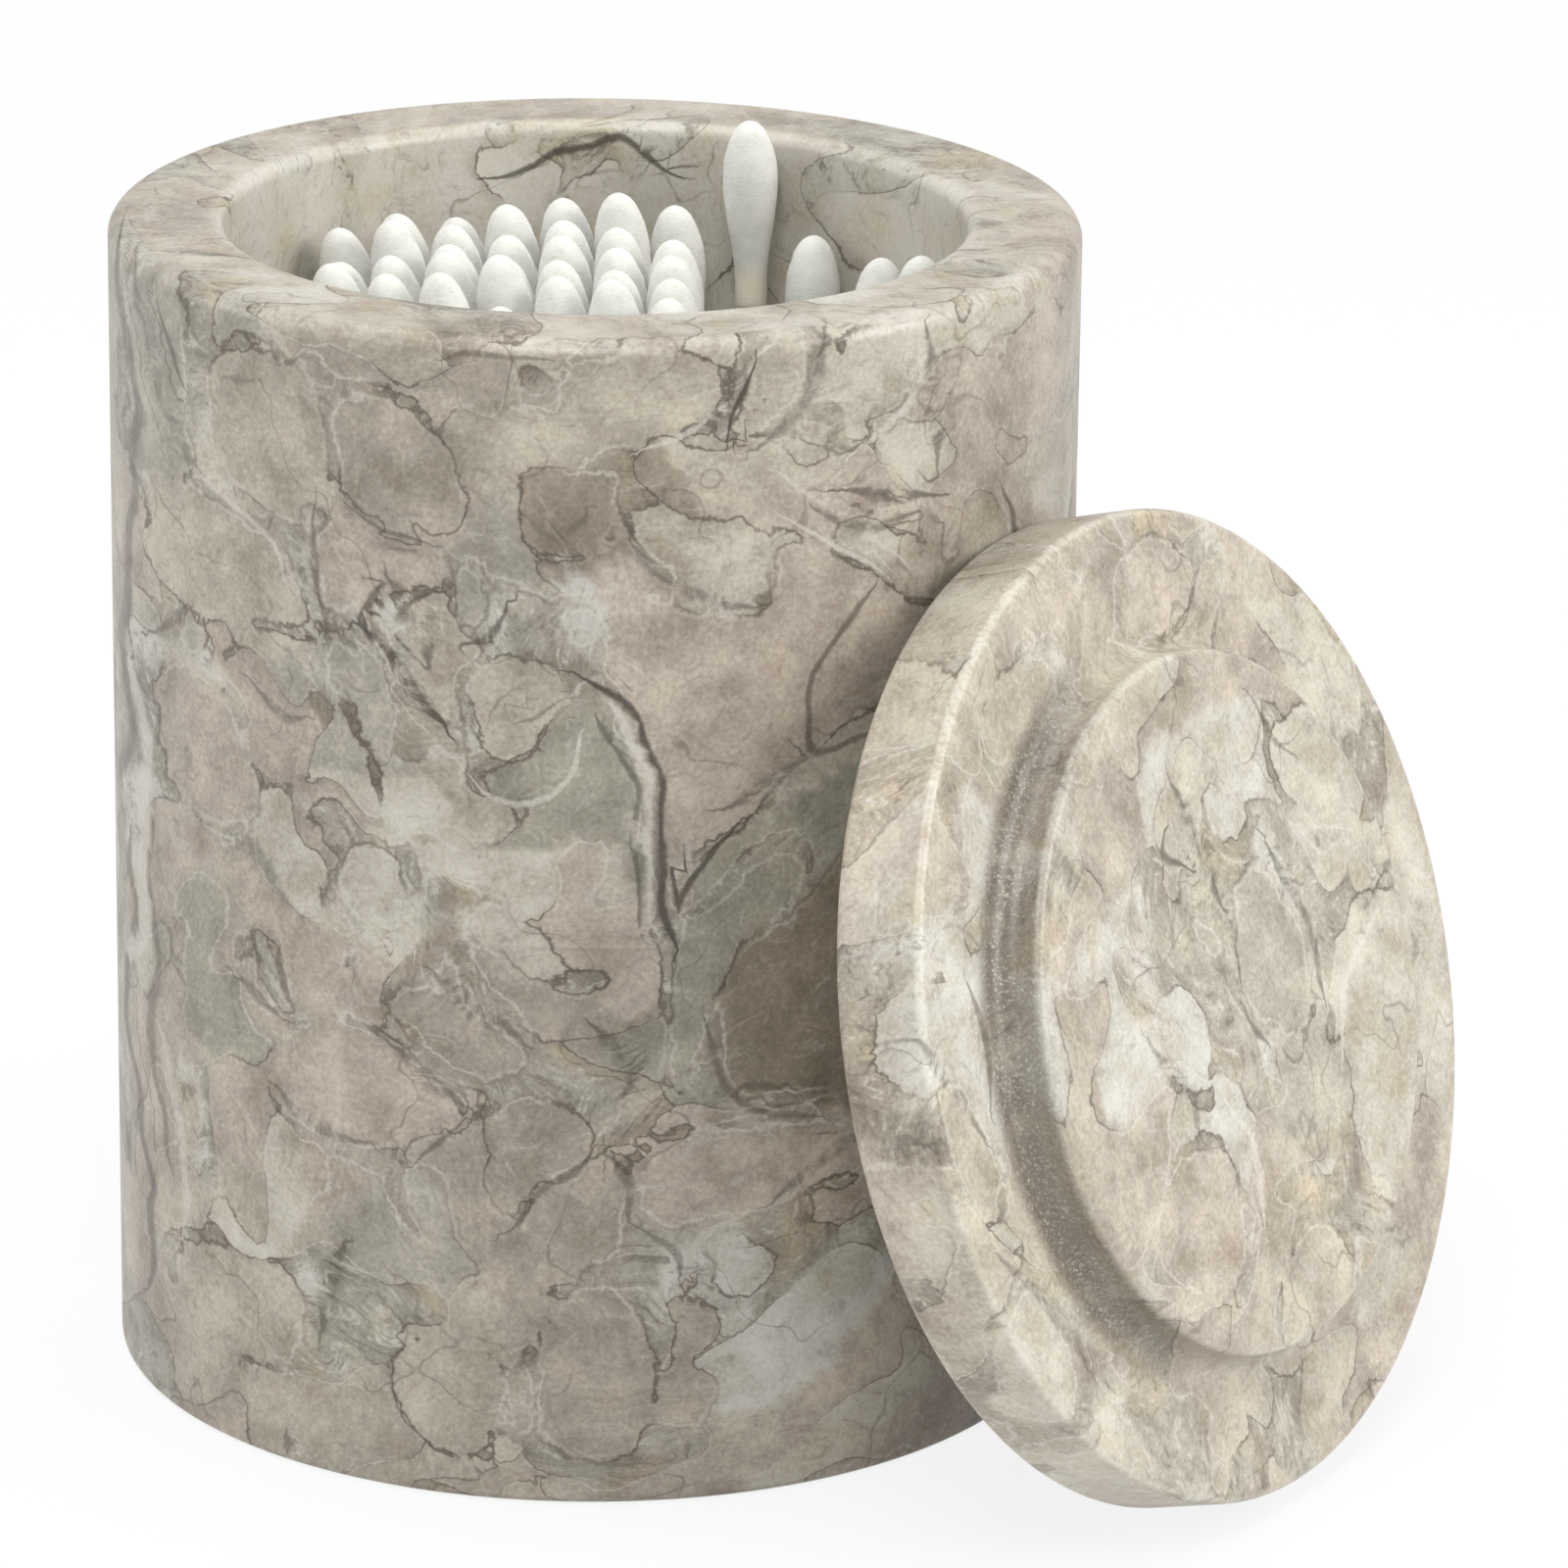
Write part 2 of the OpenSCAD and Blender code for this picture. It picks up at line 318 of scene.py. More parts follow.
# On the front of the jar, drawn in mm from its axis and its foot
JAR_STONES = [
    (SMOKE, [(-36, 93), (-30, 93), (-30, 84), (-31, 76), (-36, 76)]),
    (BEIGE, [(-29, 88), (-22, 90.5), (-20, 89), (-19.2, 85), (-19.5, 82), (-19, 78.5), (-21, 76),
             (-25, 78), (-29, 80)]),
    (TAUPE, [(-19, 88), (-15, 88), (-10, 85), (-9, 83), (-9, 80), (-10, 77.5), (-14, 78.5), (-18, 79.5),
             (-19, 82)]),
    (PINK, [(-20, 76), (-18, 78.5), (-14, 77.5), (-10, 77), (-10.5, 74), (-13, 73), (-17, 70.5),
            (-19.8, 70.5)]),
    (BEIGE, [(-34, 76), (-30, 77.5), (-26, 76), (-21, 72.5), (-20.5, 70), (-25, 68), (-31, 67), (-34, 70)]),
    (HAZE, [(-15.8, 70.6), (-14.2, 73), (-13.3, 71.5), (-13.6, 70), (-14.6, 69.6)]),
    (SMOKE, [(-32, 65), (-30.5, 67), (-28.8, 66.5), (-29, 64), (-31, 62.5)]),
    (PINK, [(-33, 61), (-31, 63), (-27.5, 61.5), (-25, 57), (-24, 53), (-26, 51), (-30, 50), (-33, 53)]),
    (SMOKE, [(-20, 69), (-18, 68.5), (-16, 66), (-17, 63), (-20, 64)]),
    (SMOKE, [(-10, 76), (-8, 76), (-7, 73), (-8, 70.5), (-10, 71)]),
    (BEIGE, [(-9, 66), (-6, 69.2), (-3, 68.6), (-1, 66.5), (-1.5, 64.5), (-3.5, 62.5), (-5, 60.5),
             (-7, 61), (-8, 63.5)]),
    (GREEN, [(-8, 59.5), (-6.5, 57.2), (-4, 56.8), (-2, 58), (0, 60.5), (0, 63), (-3.2, 62), (-5, 60)]),
    (HAZE, [(-2, 72), (0.5, 73), (1.5, 70.5), (0, 68.6), (-1.5, 70)]),
    (BEIGE, [(-5, 84.5), (-3, 87.5), (0, 92.5), (10.3, 92.5), (10.5, 88), (7.5, 86.7), (4, 84.7), (0, 84)]),
    (BROWN, [(-5, 83.3), (0, 83.2), (2.6, 83), (3, 79), (0, 76), (-5, 76.5)]),
    (CREAM, [(3.6, 81), (4.5, 77), (7, 74), (10, 72.5), (13.5, 72.5), (14.2, 76), (13, 79), (9, 80)]),
    (BEIGE, [(12.5, 93), (12, 88), (11, 85.5), (14, 85.5), (16.5, 88), (17.5, 93)]),
    (CREAM, [(18.8, 92), (18.6, 86), (20, 83.5), (23, 85), (24.5, 88), (24, 93)]),
    (PINK, [(2, 75), (6, 73), (10, 71.5), (14, 71.5), (15, 78), (21, 73.5), (25, 71), (30, 66), (21, 62),
            (14.5, 58), (12, 56), (9, 53), (7, 49), (6.2, 45.5), (6, 52), (5.6, 58), (4.6, 62), (2.5, 66),
            (1, 68), (2, 72)]),
    (CREAM, [(9, 66), (14.5, 66), (15, 61), (12, 59), (10, 57.5), (8, 60)]),
    (CREAM, [(-19, 52), (-14, 53), (-13, 49), (-14, 45), (-18, 46)]),
    (CREAM, [(-9, 49), (-3, 50.5), (0, 47), (0, 43), (-5, 42), (-10, 45)]),
    (GREEN, [(-26.5, 44), (-24, 42.5), (-22.3, 39), (-22.3, 37.5), (-24.5, 39.5)]),
    (PINK, [(-25, 34), (-22, 37), (-18, 38.5), (-13, 36), (-9.5, 33), (-9, 31), (-12, 28.5), (-18, 28),
            (-23, 29), (-25, 31)]),
    (TAUPE, [(-15, 41), (-11, 42.5), (-7, 40), (-4, 38), (-4.5, 36), (-7, 34), (-10, 35), (-14, 38.5)]),
    (TAUPE, [(-6.5, 33), (-3, 34.5), (1, 31), (1.5, 29.5), (-3, 25), (-7, 23.5), (-8, 27.5), (-6.5, 30)]),
    (TAUPE, [(1.5, 29.5), (4, 27), (4.2, 24), (3, 20), (-4, 20), (-6, 23), (-2, 25.5)]),
    (GREEN, [(6.5, 47), (11, 50), (16, 54), (18, 50), (14, 46), (10, 40), (9, 33), (6.5, 34), (7, 41)]),
    # This real brown stone beside the lid is made a darker umber partly as painted shadow of the lid on the
    # jar
    (UMBER, [(11, 45), (16, 48), (22, 48), (28, 42), (26, 33), (14, 32), (10, 35)]),
    (SMOKE, [(-14, 27), (-9, 28), (-8, 24), (-9, 20), (-13, 21)]),
    (PINK, [(4, 29), (12, 31), (20, 30), (27, 27), (18, 24.5), (10, 22.5), (5.5, 23)]),
    (HAZE, [(9.5, 21), (13, 21.5), (16, 19), (13, 16), (10, 17)]),
    (TAUPE, [(-1, 18), (3, 19), (6, 14), (5, 5), (0, 3), (-4, 8), (-3, 13)]),
    (BEIGE, [(-30, 16), (-24, 17), (-21, 13), (-23, 7), (-30, 7), (-33, 11)]),
    (BEIGE, [(-12, 14), (-7, 13), (-5, 8), (-8, 3), (-13, 4), (-15, 9)]),
    (UMBER, [(-17, 70.2), (-15.4, 72.4), (-14, 69.4), (-12.2, 66.4), (-10.8, 62.4), (-13.2, 64.8),
             (-15.2, 67.6)]),
]
# How far to the right of the front the back of the bore is drawn, in mm
BORE_ASIDE = 200
JAR_STREAKS = [
    (0.8, 0.45, [(190.7, 88.2), (194, 89), (196, 89.8), (198, 90.5), (200, 91.7), (201.8, 91.5),
                 (204, 90.2), (206, 89)]),
    (-0.6, 1.0, [(201.8, 93.1), (206, 92.8)]),
    (0.9, 1.1, [(-16.5, 70), (-14, 67.6), (-12, 65), (-10.4, 62.5)]),
    (0.7, 0.7, [(-17, 70), (-14.6, 73.2)]),
    (0.6, 1.5, [(-14, 73.5), (-12, 71), (-11.5, 68)]),
    (0.7, 0.9, [(-9, 69.6), (-7, 70.2), (-5.4, 72)]),
    (0.9, 0.55, [(-1.0, 67.6), (1.8, 66.6), (4.2, 64), (5.6, 60), (6.1, 55), (6.2, 50), (6.8, 45)]),
    (0.6, 0.35, [(0.6, 64.6), (2.6, 62.4), (3.9, 59), (4.3, 55), (4.2, 51), (4.6, 47)]),
    (-0.7, 0.55, [(1.2, 66.0), (3.2, 63.5), (4.8, 60), (5.2, 55), (5.2, 51), (5.7, 46.5)]),
    (0.55, 0.8, [(4, 77.6), (6, 74.6), (9, 73), (13, 72.3)]),
    (0.5, 0.7, [(17.8, 92.5), (17.4, 89), (15.5, 86.2), (12.8, 84.6)]),
    (0.9, 0.3, [(12.8, 91.5), (12, 89), (11.2, 87), (11, 85.3)]),
    (0.6, 1.0, [(25.5, 91), (26, 86), (26.5, 81)]),
    (0.55, 0.8, [(17.5, 79.5), (20, 77.6), (24, 77)]),
    (0.6, 0.45, [(22, 72.3), (19, 69.2), (17, 66), (17, 61.5), (18, 59.7), (23, 60.5)]),
    (0.55, 1.1, [(11, 57), (13.5, 58), (17, 60)]),
    (0.8, 0.35, [(11.6, 55.5), (9.5, 52), (7.3, 48.5), (6.4, 45)]),
    (0.5, 1.2, [(-23.5, 42), (-22.4, 38.6)]),
    (0.5, 1.0, [(-26.5, 38.6), (-23.5, 37.5)]),
    (0.5, 1.1, [(-23.5, 31), (-21, 29.5), (-17, 28.6)]),
    (0.55, 1.0, [(-14, 36), (-11.5, 34), (-9, 32.6)]),
    (0.55, 0.5, [(-8.8, 31.4), (-11.5, 28.5), (-12.5, 27)]),
    (0.5, 1.0, [(-11, 42.3), (-8, 40.5), (-4.4, 38.2)]),
    (0.6, 1.3, [(-18, 19.5), (-19.6, 16), (-20.4, 12.5)]),
    (0.45, 0.5, [(1.2, 29.2), (-3, 25), (-6, 22.8)]),
    (0.5, 0.7, [(2.4, 28.6), (4.3, 26), (4.2, 23)]),
    (0.5, 0.9, [(5.4, 22.5), (6.8, 21), (7.2, 19.2)]),
    (0.45, 0.8, [(14.5, 24.3), (18, 25.8), (23, 29)]),
    (0.6, 1.5, [(1.5, 39), (4, 37), (3.5, 34)]),
    (0.45, 1.2, [(12.5, 34), (15, 33.4)]),
    (0.6, 0.35, [(-32.6, 91), (-31.2, 86), (-30.4, 84)]),
    (0.45, 0.8, [(-34.6, 92), (-33, 84), (-30.6, 78)]),
    (0.5, 0.9, [(-34, 64), (-32.5, 65.4), (-30.8, 67.2)]),
    (0.5, 0.8, [(-25.5, 63), (-23, 60.5), (-21, 61.5)]),
    (0.5, 0.35, [(-19.8, 78.5), (-19.7, 74), (-19.6, 70.4)]),
    (0.5, 0.3, [(-17.8, 79.3), (-14.5, 77.5), (-11, 76.8)]),
    (0.35, 0.35, [(-6.6, 63.6), (-5.8, 65), (-4.8, 65.8)]),
    (0.45, 0.35, [(-5, 63.6), (-3, 64.4), (-1.4, 65.8)]),
    (0.45, 0.35, [(-10.5, 91), (-6, 92), (-2, 91.3)]),
    (0.35, 1.3, [(-4, 79), (-2, 78), (0, 79.5)]),
    (-0.6, 0.4, [(-8.4, 59), (-6.6, 57), (-4, 56.4), (-1.8, 57.7), (0.3, 60.6), (0.4, 63.6)]),
    (-0.5, 0.35, [(4, 84.6), (8, 86.6), (10.8, 88)]),
    (-0.6, 0.3, [(14.8, 79), (18.5, 76.4), (23, 72.6)]),
    (-0.5, 0.5, [(24.9, 91), (25, 87.5), (23, 84.4), (20.4, 83)]),
    (-0.5, 0.4, [(-31, 79), (-26.5, 77), (-24, 74.6), (-22.4, 72)]),
    (-0.4, 0.5, [(3, 69), (5, 68)]),
    (0.6, 0.6, [(-36.4, 93), (-35.8, 86), (-34.6, 80), (-35.4, 72), (-36.6, 64), (-35.6, 57), (-36.6, 48)]),
    (-0.6, 0.9, [(-35.4, 60), (-34, 54), (-35, 47), (-34.6, 40), (-36, 34)]),
    (0.6, 0.5, [(-36.2, 46), (-35.4, 38), (-36.6, 30), (-35.6, 22), (-34, 16), (-35.2, 8)]),
    (0.5, 0.45, [(-33.6, 50), (-34.6, 44), (-33.2, 36), (-34.2, 28), (-32.2, 20)]),
    (-0.5, 0.6, [(-33.2, 32), (-32.4, 26), (-30.6, 21), (-31, 15)]),
    (0.7, 1.0, [(20, 80.5), (22.5, 79), (26, 78.4)]),
    (0.7, 0.4, [(31.5, 77), (32.6, 73.6), (33.4, 70.6)]),
    (-0.5, 0.4, [(14, 83), (18, 80), (21.6, 76.4), (25, 73.6)]),
    (0.45, 0.4, [(9.6, 40), (10.4, 35), (13, 31.6), (19, 30)]),
]
# In mm from the axis: where the outside begins, where the bore ends, and the mouth between them, over which
# the bore's painted light fades in
OUTSIDE_FROM = 36.4
BORE_TO = 29.4
MOUTH_PAINTED_LIGHT = (31, 29.2)
jar_places = places_of(jar)
jar_out = np.hypot(jar_places[:, 0], jar_places[:, 1])
on_front = (jar_out > OUTSIDE_FROM) * soft_step(2, -9, jar_places[:, 1])
# Painted light: the bore is painted paler and brighter, as the light inside the jar, and, a little, so is the
# top of the rim
rim_painted_light = 0.35 * soft_step(-1.5, -0.1, jar_places[:, 2] - jar_h / MM)
jar_painted_light = np.maximum(soft_step(*MOUTH_PAINTED_LIGHT, jar_out), rim_painted_light)
on_back = (jar_out < BORE_TO) * soft_step(6, 14, jar_places[:, 1]) * soft_step(58, 64, jar_places[:, 2])
jar_drawing = jar_places[:, [0, 2]] + np.column_stack([BORE_ASIDE * (on_back > 0), np.zeros(len(jar_places))])
lay_marble(jar, jar_places, jar_drawing, on_front + on_back, JAR_STONES, JAR_STREAKS, jar_painted_light, 0.1)


class Shades:
    """Adds nodes to a material. Each call links or sets a node's inputs and gives one output."""

    def __init__(self, name):
        self.material = bpy.data.materials.new(name)
        self.material.use_nodes = True
        self.tree = self.material.node_tree
        self.surface = self.tree.nodes["Principled BSDF"]

    def add(self, kind, inputs, output=0, **settings):
        node = self.tree.nodes.new(kind)
        for key, value in settings.items():
            setattr(node, key, value)
        for key, value in inputs.items():
            self.feed(node.inputs[key], value)
        return node.outputs[output]

    def feed(self, socket, value):
        if isinstance(value, bpy.types.NodeSocket):
            self.tree.links.new(value, socket)
        else:
            socket.default_value = value

    def math(self, operation, a, b=0.0, c=0.0):
        return self.add("ShaderNodeMath", {0: a, 1: b, 2: c}, operation=operation)

    def product(self, first, *others):
        for other in others:
            first = self.math("MULTIPLY", first, other)
        return first

    def vector(self, operation, a, b=(0, 0, 0)):
        return self.add("ShaderNodeVectorMath", {0: a, 1: b}, operation=operation)

    def scaled(self, vector, scale):
        return self.add("ShaderNodeVectorMath", {"Vector": vector, "Scale": scale}, operation="SCALE")

    def noise(self, place, size, detail=4.0, rough=0.5):
        """Noise whose lumps are about that size, in the units of the place."""
        return self.add("ShaderNodeTexNoise", {"Vector": place, "Scale": 1 / size, "Detail": detail,
                                               "Roughness": rough})

    def band(self, value, low, high):
        """0 at low, 1 at high and smooth between them, where low may be the higher."""
        return self.add("ShaderNodeMapRange", {"Value": value, "From Min": low, "From Max": high},
                        interpolation_type="SMOOTHSTEP")

    def blend(self, share, a, b, how="MIX"):
        return self.add("ShaderNodeMix", {0: share, 6: a, 7: b}, 2, data_type="RGBA", blend_type=how)

    def stain(self, tone, colour, *shares):
        """The tone with a colour laid over it, as far as the product of the shares."""
        return self.blend(self.product(*shares), tone, linear(*colour))

    def mottle(self, tone, share, pattern, dark, light):
        """The tone made darker and lighter by a pattern."""
        stops = [(0.3, dark), (0.5, NEUTRAL), (0.7, light)]
        return self.blend(share, tone, self.ramp(pattern, stops), "OVERLAY")

    def between(self, share, a, b):
        return self.add("ShaderNodeMix", {0: share, 2: a, 3: b}, 0, data_type="FLOAT")

    def ramp(self, value, stops):
        node = self.tree.nodes.new("ShaderNodeValToRGB")
        while len(node.color_ramp.elements) < len(stops):
            node.color_ramp.elements.new(0.5)
        for element, (place, colour) in zip(node.color_ramp.elements, stops):
            element.position = place
            element.color = linear(*colour)
        self.feed(node.inputs[0], value)
        return node.outputs[0]

    def attribute(self, name, output):
        return self.add("ShaderNodeAttribute", {}, output, attribute_name=name)

    def finish(self, colour, relief, strength, depth, settings):
        """Gives the surface its colour, its relief of that depth and its settings, and the material."""
        bump = self.add("ShaderNodeBump", {"Height": relief, "Strength": strength, "Distance": depth})
        for name, value in {"Base Color": colour, "Normal": bump, **settings}.items():
            self.feed(self.surface.inputs[name], value)
        return self.material


def marble(name, lift, paints_cove_shade):
    """The marble's finish, from the edges of its stones to its grain, with its sizes in mm.

    lift is how bright it is, and the last argument is whether it paints shade into the cove, where the
    attribute "cove" says."""
    s = Shades(name)
    block = s.scaled(s.add("ShaderNodeTexCoord", {}, "Object"), 1 / MM)
    jag = s.math("SUBTRACT", s.noise(block, 1.7, 4, 0.62), 0.5)
    grain = s.noise(block, 0.4, 2, 0.6)
    shows = s.attribute("shows", "Fac")
    hidden = s.math("SUBTRACT", 1.0, shows)

    # Two layers of stones over the ground, each stone with a soft shade round it
    tone = s.attribute("ground", "Color")
    within = 0.0
    edges = []
    for layer in ("lower", "upper"):
        edge = s.math("MULTIPLY_ADD", jag, 1.8, s.attribute(layer + "_edge", "Fac"))
        blur = s.between(shows, 1.5, 0.1)
        inside = s.band(edge, blur, s.math("MULTIPLY", blur, -1.0))
        tone = s.stain(tone, STONE_SHADE, s.band(edge, 2.2, 0.0), shows, 0.25)
        tone = s.blend(inside, tone, s.attribute(layer, "Color"))
        within = s.math("MAXIMUM", within, inside)
        edges.append(edge)

    # Soft patches, and strokes drawn out along the flow, strong in the ground and faint in the stones
    patches = s.noise(s.vector("ADD", block, (31, 7, 5)), 5, 4, 0.6)
    tone = s.mottle(tone, 0.6, patches, (142, 138, 128), (226, 224, 219))
    loose = s.math("MULTIPLY_ADD", within, -0.6, 1.0)
    across = s.math("MULTIPLY_ADD", s.attribute("swirl", "Fac"), 0.8, s.math("MULTIPLY", edges[0], 0.4))
    along_flow = s.vector("ADD", s.scaled(block, 0.5), s.add("ShaderNodeCombineXYZ", {0: across}))
    drawn = s.noise(along_flow, 1.15, 5, 0.76)
    tone = s.stain(tone, STROKE, s.band(drawn, 0.48, 0.35), loose, 0.65)
    tone = s.stain(tone, HEALED, s.band(drawn, 0.53, 0.66), loose, 0.6)

    # A thin dark line along the edges that show, and a pale healed one inside those that don't. The
    # upper layer covers the lower one's.
    for edge, cover in zip(edges, (s.band(edges[1], -0.1, 0.1), 1.0)):
        line = s.band(s.math("ABSOLUTE", edge), 0.2, 0.03)
        healed = s.band(s.math("ABSOLUTE", s.math("ADD", edge, 0.4)), 0.22, 0.02)
        tone = s.stain(tone, EDGE_LINE, line, cover, shows, 0.75)
        tone = s.stain(tone, HEALED, healed, cover, hidden, 0.45)

    # Hair cracks, and the streaks, of which the wide ones are hatched
    hair = s.math("ABSOLUTE", s.math("SUBTRACT", s.noise(block, 14, 3, 0.45), 0.5))
    tone = s.stain(tone, HAIR_CRACK, s.band(hair, 0.006, 0.001), shows, 0.4)
    away = s.math("ABSOLUTE", s.math("MULTIPLY_ADD", jag, 0.5, s.attribute("streak", "Fac")))
    width = s.attribute("width", "Fac")
    profile = s.band(s.math("DIVIDE", away, width), 1.0, 0.25)
    ragged = s.band(s.math("MULTIPLY_ADD", jag, 0.5, drawn), 0.62, 0.38)
    hatch = s.between(s.band(width, 0.5, 0.9), 1.0, ragged)
    mark = s.attribute("mark", "Fac")
    dark, pale = (s.math("MAXIMUM", s.product(mark, sign), 0.0) for sign in (1.0, -1.0))
    tone = s.stain(tone, CRACK, profile, hatch, dark)
    tone = s.stain(tone, HEALED, profile, pale)

    tone = s.mottle(tone, 0.35, grain, (146, 142, 133), (230, 228, 221))
    # Painted shade: the cove is darkened in patches and specks where the attribute "cove" says
    if paints_cove_shade:
        speck = s.band(s.noise(block, 0.28, 3, 0.8), 0.5, 0.66)
        cove_shade_share = s.product(s.attribute("cove", "Fac"), s.band(patches, 0.1, 0.55))
        tone = s.stain(tone, COVE_SHADE, cove_shade_share, s.between(speck, 0.9, 0.3))
    tone = s.blend(1.0, tone, (lift, lift, lift, 1), "MULTIPLY")
    return s.finish(tone, grain, 0.25, 0.05 * MM, {"Roughness": 0.38})


jar.data.materials.append(marble("marble_jar", 0.67, False))
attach(jar, "root")
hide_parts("jar")

# The lid. It is turned from the same stone, its marble made lighter than the jar's: a flat disc as wide as
# the jar, with a round plug on its underside and a cove round the plug's root. It leans on the jar, plug
# outwards.
LID_T = 7.7 * MM
LID_R = 38.3 * MM
PLUG_R = 27.2 * MM
PLUG_H = 3.2 * MM
PLUG_COVE = 2 * MM
LID_ROUND = 0.8 * MM
LID_LEAN = 16.2
LID_BEARING = -32
LID_AWAY = 48.59 * MM
LID_RISE = 36.59 * MM
FACE_STEP = 0.8 * MM
# Where in the block the lid was sliced from, in mm
LID_SLICE = np.array([140, 60, 30])

bpy.ops.mesh.primitive_cylinder_add(vertices=JAR_SIDES, radius=LID_R, depth=LID_T, location=(0, 0, LID_T / 2),
                                    end_fill_type="NGON")
lid = bpy.context.object
lid.name = "lid_turned"
bpy.ops.object.transform_apply(location=True)
edit(lid)
pick(lid, "faces", lambda f: f.normal.z > 0.9)
bpy.ops.mesh.inset(thickness=LID_R - PLUG_R)
bpy.ops.mesh.extrude_region_move(TRANSFORM_OT_translate={"value": (0, 0, PLUG_H)})
bevel_ring(lid, PLUG_R, LID_T, PLUG_COVE)
bevel_ring(lid, PLUG_R, LID_T + PLUG_H, LID_ROUND)
bevel_ring(lid, LID_R, LID_T, LID_ROUND)
bevel_ring(lid, LID_R, 0, LID_ROUND)
cut_edges(lid, across_face(LID_T, 3 * MM), (10,))
ring_face(lid, LID_T + PLUG_H, 1, FACE_STEP, int((PLUG_R - LID_ROUND) / FACE_STEP) - 1)
ring_face(lid, 0, -1, FACE_STEP, int((LID_R - LID_ROUND) / FACE_STEP) - 1)
done()

LID_STONES = [
    (PINK, [(-19, -14), (-14, -8), (-8, -9), (-4, -14), (-7, -20), (-15, -20)]),
    (CREAM, [(14, 0), (22, 3), (30, 0), (30, -10), (22, -20), (14, -22), (12, -12)]),
    (SMOKE, [(2, 8), (8, 10), (12, 4), (11, -4), (6, -6), (1, -1)]),
    (HAZE, [(2, 17), (6, 16), (8, 12), (4, 11), (1, 13)]),
    (CREAM, [(12, 19), (20, 18), (26, 12), (22, 6), (14, 10)]),
    (HAZE, [(-34, 16), (-29, 17), (-27, 11), (-30, 6), (-34, 9)]),
    (BEIGE, [(-20, 30), (-12, 32), (-8, 28), (-14, 24), (-22, 24)]),
    (HAZE, [(-12, 3), (-6, 4), (-4, -2), (-8, -6), (-12, -3)]),
    (BEIGE, [(-38, 4), (-34, 5), (-31, -3), (-34, -8), (-37, -4)]),
    (CREAM, [(-36, -14), (-30, -12), (-27, -20), (-30, -24), (-35, -20)]),
    (BEIGE, [(-2, -20), (6, -18), (9, -26), (2, -31), (-4, -28)]),
    (PINK, [(0, 34), (8, 36), (14, 31), (8, 27), (0, 28)]),
]
LID_STREAKS = [
    (0.6, 0.7, [(9, 10.5), (12, 6), (13, 1), (12, -4)]),
    (0.6, 1.2, [(-2, 18), (-1, 14), (0, 10), (1, 7)]),
    (0.7, 0.6, [(-4.6, 14.5), (-5.5, 12.5), (-2.5, 10.5)]),
    (0.5, 0.6, [(1, -1), (2.6, -5)]),
    (0.5, 0.8, [(28, 4), (22, 2), (18, -2)]),
    (0.5, 0.9, [(-37.5, 9), (-35, 4), (-32.5, -1)]),
    (0.55, 0.6, [(-31, 1), (-29.6, 6), (-30, 10)]),
    (0.5, 0.7, [(11, 21), (13.5, 17.4), (16, 15.6)]),
    (0.45, 0.8, [(14, -20), (17, -23), (20, -24)]),
    (0.4, 1.0, [(-13, 0), (-10, -4), (-9, -8)]),
    (0.45, 0.7, [(-34, -10), (-30, -14), (-26, -21)]),
    (-0.5, 0.8, [(13.5, -8), (17, -2), (23, 0.5)]),
    (-0.5, 0.5, [(-5, -6), (-2, -12), (-3, -18)]),
]
lid_places = places_of(lid)
lid_out = np.hypot(lid_places[:, 0], lid_places[:, 1])
on_face = (lid_places[:, 2] > LID_T / MM - 1).astype(float)
# Across the face, u runs to the right and v runs up, as the lid leans
lid_uv = np.stack([lid_places[:, 1], -lid_places[:, 0]], axis=1)
# Painted highlight: the two edges of the lid's face are painted paler all round
edge_highlights = [soft_step(0.35, 0.05, np.abs(lid_out - (edge_r - LID_ROUND / 3) / MM))
          for edge_r in (LID_R, PLUG_R)]
lid_painted_highlight = 0.4 * on_face * np.maximum(*edge_highlights)
lay_marble(lid, lid_places + LID_SLICE, lid_uv, on_face, LID_STONES, LID_STREAKS, lid_painted_highlight, 0.3)
# Painted shade: the cove is darkened on its left side, where shade falls in it
COVE_R = 28.6
COVE_SHADE_TURN = 0.15
cove_shade_side = np.arctan2(lid_uv[:, 1], lid_uv[:, 0]) + COVE_SHADE_TURN
cove_shade_mask = soft_step(2.6, 0.6, np.abs(lid_out - COVE_R)) * soft_step(-0.15, -0.75, np.cos(cove_shade_side))
lid.data.attributes.new("cove", "FLOAT", "POINT").data.foreach_set("value", cove_shade_mask * on_face)
lid.matrix_world = (Matrix.Rotation(math.radians(LID_BEARING), 4, "Z")
                    @ Matrix.Translation((LID_AWAY, 0, LID_RISE))
                    @ Matrix.Rotation(math.radians(90 - LID_LEAN), 4, "Y"))
bpy.ops.object.transform_apply(location=True, rotation=True)
lid.data.materials.append(marble("marble_lid", 0.8, True))
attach(lid, "root")
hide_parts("lid")

# The sticks. Each is a strip of ivory paper rolled tight and glued, a little glossy from the glue,
# with the strip's edge winding round it. Its ends are buried in the cotton.
STICK_SIDES = 24
STICK_R = 1.25 * MM
BUD_PAD = 2.5 * MM
SEAM_TURN = 9 * MM
STICK_ROUND = 0.12 * MM
PAPER, GLUE = (226, 217, 196), (170, 152, 122)


def copy_of(model, name, places):
    """One piece of copies of a model, each put at its place with its own mesh."""
    copies = []
    for place in places:
        copied = model.copy()
        copied.data = model.data.copy()
        bpy.context.scene.collection.objects.link(copied)
        copied.matrix_world = place
        copies.append(copied)
    bpy.ops.object.select_all(action="DESELECT")
    for copied in copies:
        copied.select_set(True)
    bpy.context.view_layer.objects.active = copies[0]
    if len(copies) > 1:
        bpy.ops.object.join()
    piece = bpy.context.object
    piece.name = name
    bpy.ops.object.transform_apply(location=True, rotation=True, scale=True)
    return piece


def keep_rest_places(model):
    """Keeps where each vertex of a model lies before it is copied, for the patterns that follow it."""
    rest = model.data.attributes.new("rest", "FLOAT_VECTOR", "POINT")
    rest.data.foreach_set("vector", places_of(model).ravel())


